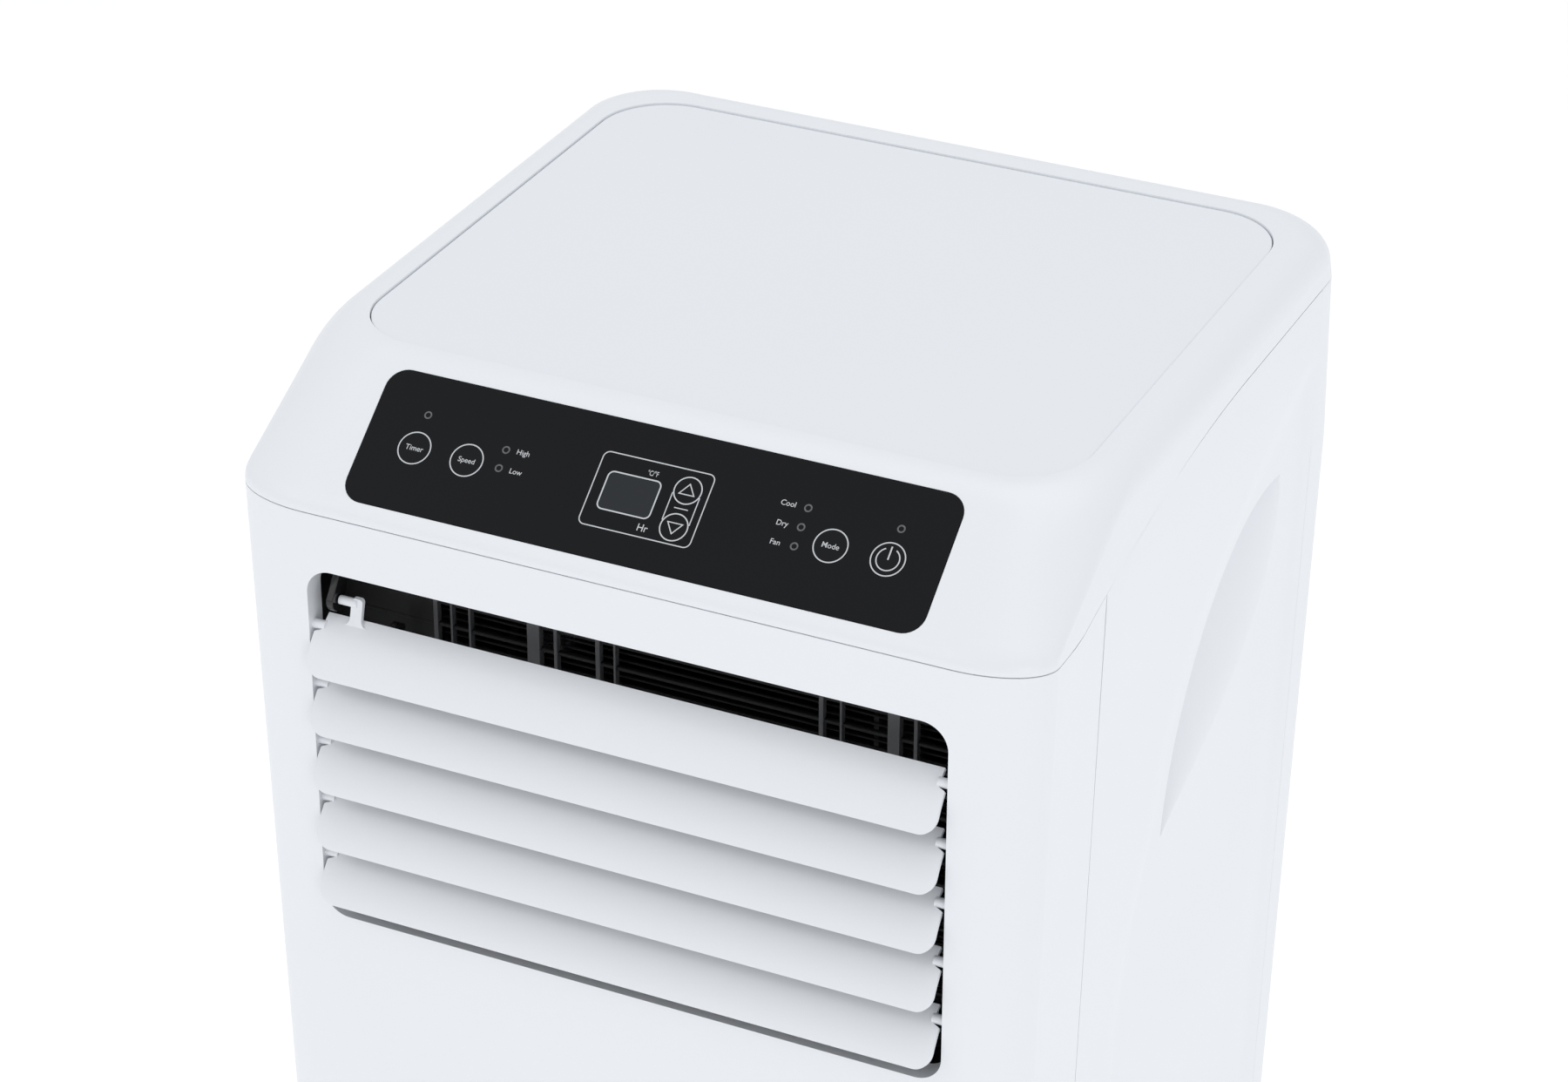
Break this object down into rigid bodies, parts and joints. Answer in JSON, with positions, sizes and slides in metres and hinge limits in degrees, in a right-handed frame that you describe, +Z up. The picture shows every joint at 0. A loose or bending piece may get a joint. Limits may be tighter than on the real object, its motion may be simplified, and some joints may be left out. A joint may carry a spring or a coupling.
{
  "type": "portable air conditioner",
  "caption": "Tapered white floor-standing air conditioner on swivel casters, with a sloping black control panel and tilting outlet louvres.",
  "frame": {"origin": "on the floor, under the middle of the whole box", "axes": "+Z up, the louvres and the control panel face -Y, +X is the right-hand side seen from the front"},
  "size_m": [0.34, 0.3417, 0.7],
  "materials": {
    "white_plastic": "satin moulded white plastic",
    "white_plate": "fine satin white plastic",
    "grey_plastic": "moulded grey plastic",
    "black_gloss": "smooth black film",
    "display_lens": "smoked clear window",
    "key_black": "smooth black key caps",
    "circuit_board": "green laminate",
    "inner_black": "black moulded plastic",
    "bare_steel": "plated steel",
    "aluminium_fins": "pressed fins",
    "black_paint": "black paint",
    "copper": "drawn copper tube",
    "filter_mesh": "woven plastic mesh in a frame",
    "rubber": "moulded rubber"
  },
  "bodies": {
    "casing": {"base_pan": "grey_plastic", "front_panel": "white_plastic", "left_side_panel": "white_plastic", "right_side_panel": "white_plastic", "rear_panel": "white_plastic", "top_cover": "white_plastic", "top_plate": "white_plate", "control_overlay": "black_gloss", "display_window": "display_lens", "control_board": "circuit_board", "louvre_motor": "bare_steel", "outlet_grille": "inner_black", "evaporator_scroll": "inner_black", "evaporator_motor": "bare_steel", "evaporator_coil": "aluminium_fins", "drip_tray": "grey_plastic", "condenser_scroll": "inner_black", "condenser_motor": "bare_steel", "condenser_coil": "aluminium_fins", "compressor": "black_paint", "suction_pipe": "copper", "discharge_pipe": "copper", "electrical_box": "grey_plastic", "lower_intake_grille": "white_plastic", "exhaust_collar": "grey_plastic", "cord_gland": "rubber"},
    "louvre_1": {"louvre_1": "white_plastic"},
    "louvre_2": {"louvre_2": "white_plastic"},
    "louvre_3": {"louvre_3": "white_plastic"},
    "louvre_4": {"louvre_4": "white_plastic"},
    "louvre_5": {"louvre_5": "white_plastic"},
    "louvre_link": {"louvre_link": "inner_black"},
    "louvre_crank": {"louvre_crank": "inner_black"},
    "timer_key": {"timer_key": "key_black"},
    "speed_key": {"speed_key": "key_black"},
    "up_key": {"up_key": "key_black"},
    "down_key": {"down_key": "key_black"},
    "mode_key": {"mode_key": "key_black"},
    "power_key": {"power_key": "key_black"},
    "evaporator_wheel": {"evaporator_wheel": "inner_black"},
    "condenser_wheel": {"condenser_wheel": "inner_black"},
    "filter_cassette": {"filter_cover": "white_plastic", "air_filter": "filter_mesh"},
    "drain_cap": {"drain_cap": "grey_plastic"},
    "drain_plug": {"drain_plug": "rubber"},
    "front_left_caster_fork": {"front_left_caster_fork": "black_paint"},
    "front_left_caster_wheel": {"front_left_caster_wheel": "rubber"},
    "front_right_caster_fork": {"front_right_caster_fork": "black_paint"},
    "front_right_caster_wheel": {"front_right_caster_wheel": "rubber"},
    "rear_left_caster_fork": {"rear_left_caster_fork": "black_paint"},
    "rear_left_caster_wheel": {"rear_left_caster_wheel": "rubber"},
    "rear_right_caster_fork": {"rear_right_caster_fork": "black_paint"},
    "rear_right_caster_wheel": {"rear_right_caster_wheel": "rubber"}
  },
  "joints": [
    {"name": "louvre_1_tilt", "type": "hinge", "parent": "casing", "child": "louvre_1", "pos_m": [0, -0.15844, 0.6013], "axis": [1, 0, 0], "range_deg": [-36, 38]},
    {"name": "louvre_2_tilt", "type": "hinge", "parent": "casing", "child": "louvre_2", "pos_m": [0, -0.15844, 0.5748], "axis": [1, 0, 0], "range_deg": [-36, 38]},
    {"name": "louvre_3_tilt", "type": "hinge", "parent": "casing", "child": "louvre_3", "pos_m": [0, -0.15844, 0.5483], "axis": [1, 0, 0], "range_deg": [-36, 38]},
    {"name": "louvre_4_tilt", "type": "hinge", "parent": "casing", "child": "louvre_4", "pos_m": [0, -0.15844, 0.5218], "axis": [1, 0, 0], "range_deg": [-36, 38]},
    {"name": "louvre_5_tilt", "type": "hinge", "parent": "casing", "child": "louvre_5", "pos_m": [0, -0.15844, 0.4953], "axis": [1, 0, 0], "range_deg": [-36, 38]},
    {"name": "louvre_link_swing", "type": "hinge", "parent": "louvre_1", "child": "louvre_link", "pos_m": [-0.105, -0.14744, 0.6013], "axis": [1, 0, 0], "range_deg": [-38, 36]},
    {"name": "louvre_crank_turn", "type": "hinge", "parent": "casing", "child": "louvre_crank", "pos_m": [-0.1275, -0.14544, 0.6277], "axis": [1, 0, 0], "range_deg": [-24.4, 23.1]},
    {"name": "timer_key_press", "type": "slide", "parent": "casing", "child": "timer_key", "axis": [0, 0.6184, -0.7859], "range_m": [0, 0.0005], "stiffness_N_per_m": 500},
    {"name": "speed_key_press", "type": "slide", "parent": "casing", "child": "speed_key", "axis": [0, 0.6184, -0.7859], "range_m": [0, 0.0005], "stiffness_N_per_m": 500},
    {"name": "up_key_press", "type": "slide", "parent": "casing", "child": "up_key", "axis": [0, 0.6184, -0.7859], "range_m": [0, 0.0005], "stiffness_N_per_m": 500},
    {"name": "down_key_press", "type": "slide", "parent": "casing", "child": "down_key", "axis": [0, 0.6184, -0.7859], "range_m": [0, 0.0005], "stiffness_N_per_m": 500},
    {"name": "mode_key_press", "type": "slide", "parent": "casing", "child": "mode_key", "axis": [0, 0.6184, -0.7859], "range_m": [0, 0.0005], "stiffness_N_per_m": 500},
    {"name": "power_key_press", "type": "slide", "parent": "casing", "child": "power_key", "axis": [0, 0.6184, -0.7859], "range_m": [0, 0.0005], "stiffness_N_per_m": 500},
    {"name": "evaporator_wheel_spin", "type": "hinge", "parent": "casing", "child": "evaporator_wheel", "pos_m": [0, -0.03764, 0.548], "axis": [1, 0, 0], "continuous": true},
    {"name": "condenser_wheel_spin", "type": "hinge", "parent": "casing", "child": "condenser_wheel", "pos_m": [0, 0.00736, 0.352], "axis": [1, 0, 0], "continuous": true},
    {"name": "filter_pull", "type": "slide", "parent": "casing", "child": "filter_cassette", "axis": [0, 1, 0], "range_m": [0, 0.08]},
    {"name": "drain_cap_pull", "type": "slide", "parent": "casing", "child": "drain_cap", "axis": [0, 0.9999, -0.0105], "range_m": [0, 0.02]},
    {"name": "drain_plug_pull", "type": "slide", "parent": "casing", "child": "drain_plug", "axis": [0, 0.9999, -0.0105], "range_m": [0, 0.02]},
    {"name": "front_left_caster_swivel", "type": "hinge", "parent": "casing", "child": "front_left_caster_fork", "pos_m": [-0.118, -0.12064, 0.036], "axis": [0, 0, 1], "continuous": true},
    {"name": "front_left_caster_roll", "type": "hinge", "parent": "front_left_caster_fork", "child": "front_left_caster_wheel", "pos_m": [-0.118, -0.10864, 0.018], "axis": [1, 0, 0], "continuous": true},
    {"name": "front_right_caster_swivel", "type": "hinge", "parent": "casing", "child": "front_right_caster_fork", "pos_m": [0.118, -0.12064, 0.036], "axis": [0, 0, 1], "continuous": true},
    {"name": "front_right_caster_roll", "type": "hinge", "parent": "front_right_caster_fork", "child": "front_right_caster_wheel", "pos_m": [0.118, -0.10864, 0.018], "axis": [1, 0, 0], "continuous": true},
    {"name": "rear_left_caster_swivel", "type": "hinge", "parent": "casing", "child": "rear_left_caster_fork", "pos_m": [-0.118, 0.12136, 0.036], "axis": [0, 0, 1], "continuous": true},
    {"name": "rear_left_caster_roll", "type": "hinge", "parent": "rear_left_caster_fork", "child": "rear_left_caster_wheel", "pos_m": [-0.118, 0.13336, 0.018], "axis": [1, 0, 0], "continuous": true},
    {"name": "rear_right_caster_swivel", "type": "hinge", "parent": "casing", "child": "rear_right_caster_fork", "pos_m": [0.118, 0.12136, 0.036], "axis": [0, 0, 1], "continuous": true},
    {"name": "rear_right_caster_roll", "type": "hinge", "parent": "rear_right_caster_fork", "child": "rear_right_caster_wheel", "pos_m": [0.118, 0.13336, 0.018], "axis": [1, 0, 0], "continuous": true}
  ],
  "couplings": [
    {"joint": "louvre_2_tilt", "follows": "louvre_1_tilt", "ratio": 1},
    {"joint": "louvre_3_tilt", "follows": "louvre_1_tilt", "ratio": 1},
    {"joint": "louvre_4_tilt", "follows": "louvre_1_tilt", "ratio": 1},
    {"joint": "louvre_5_tilt", "follows": "louvre_1_tilt", "ratio": 1},
    {"joint": "louvre_link_swing", "follows": "louvre_1_tilt", "ratio": -1},
    {"joint": "louvre_crank_turn", "follows": "louvre_1_tilt", "ratio": -0.64}
  ]
}
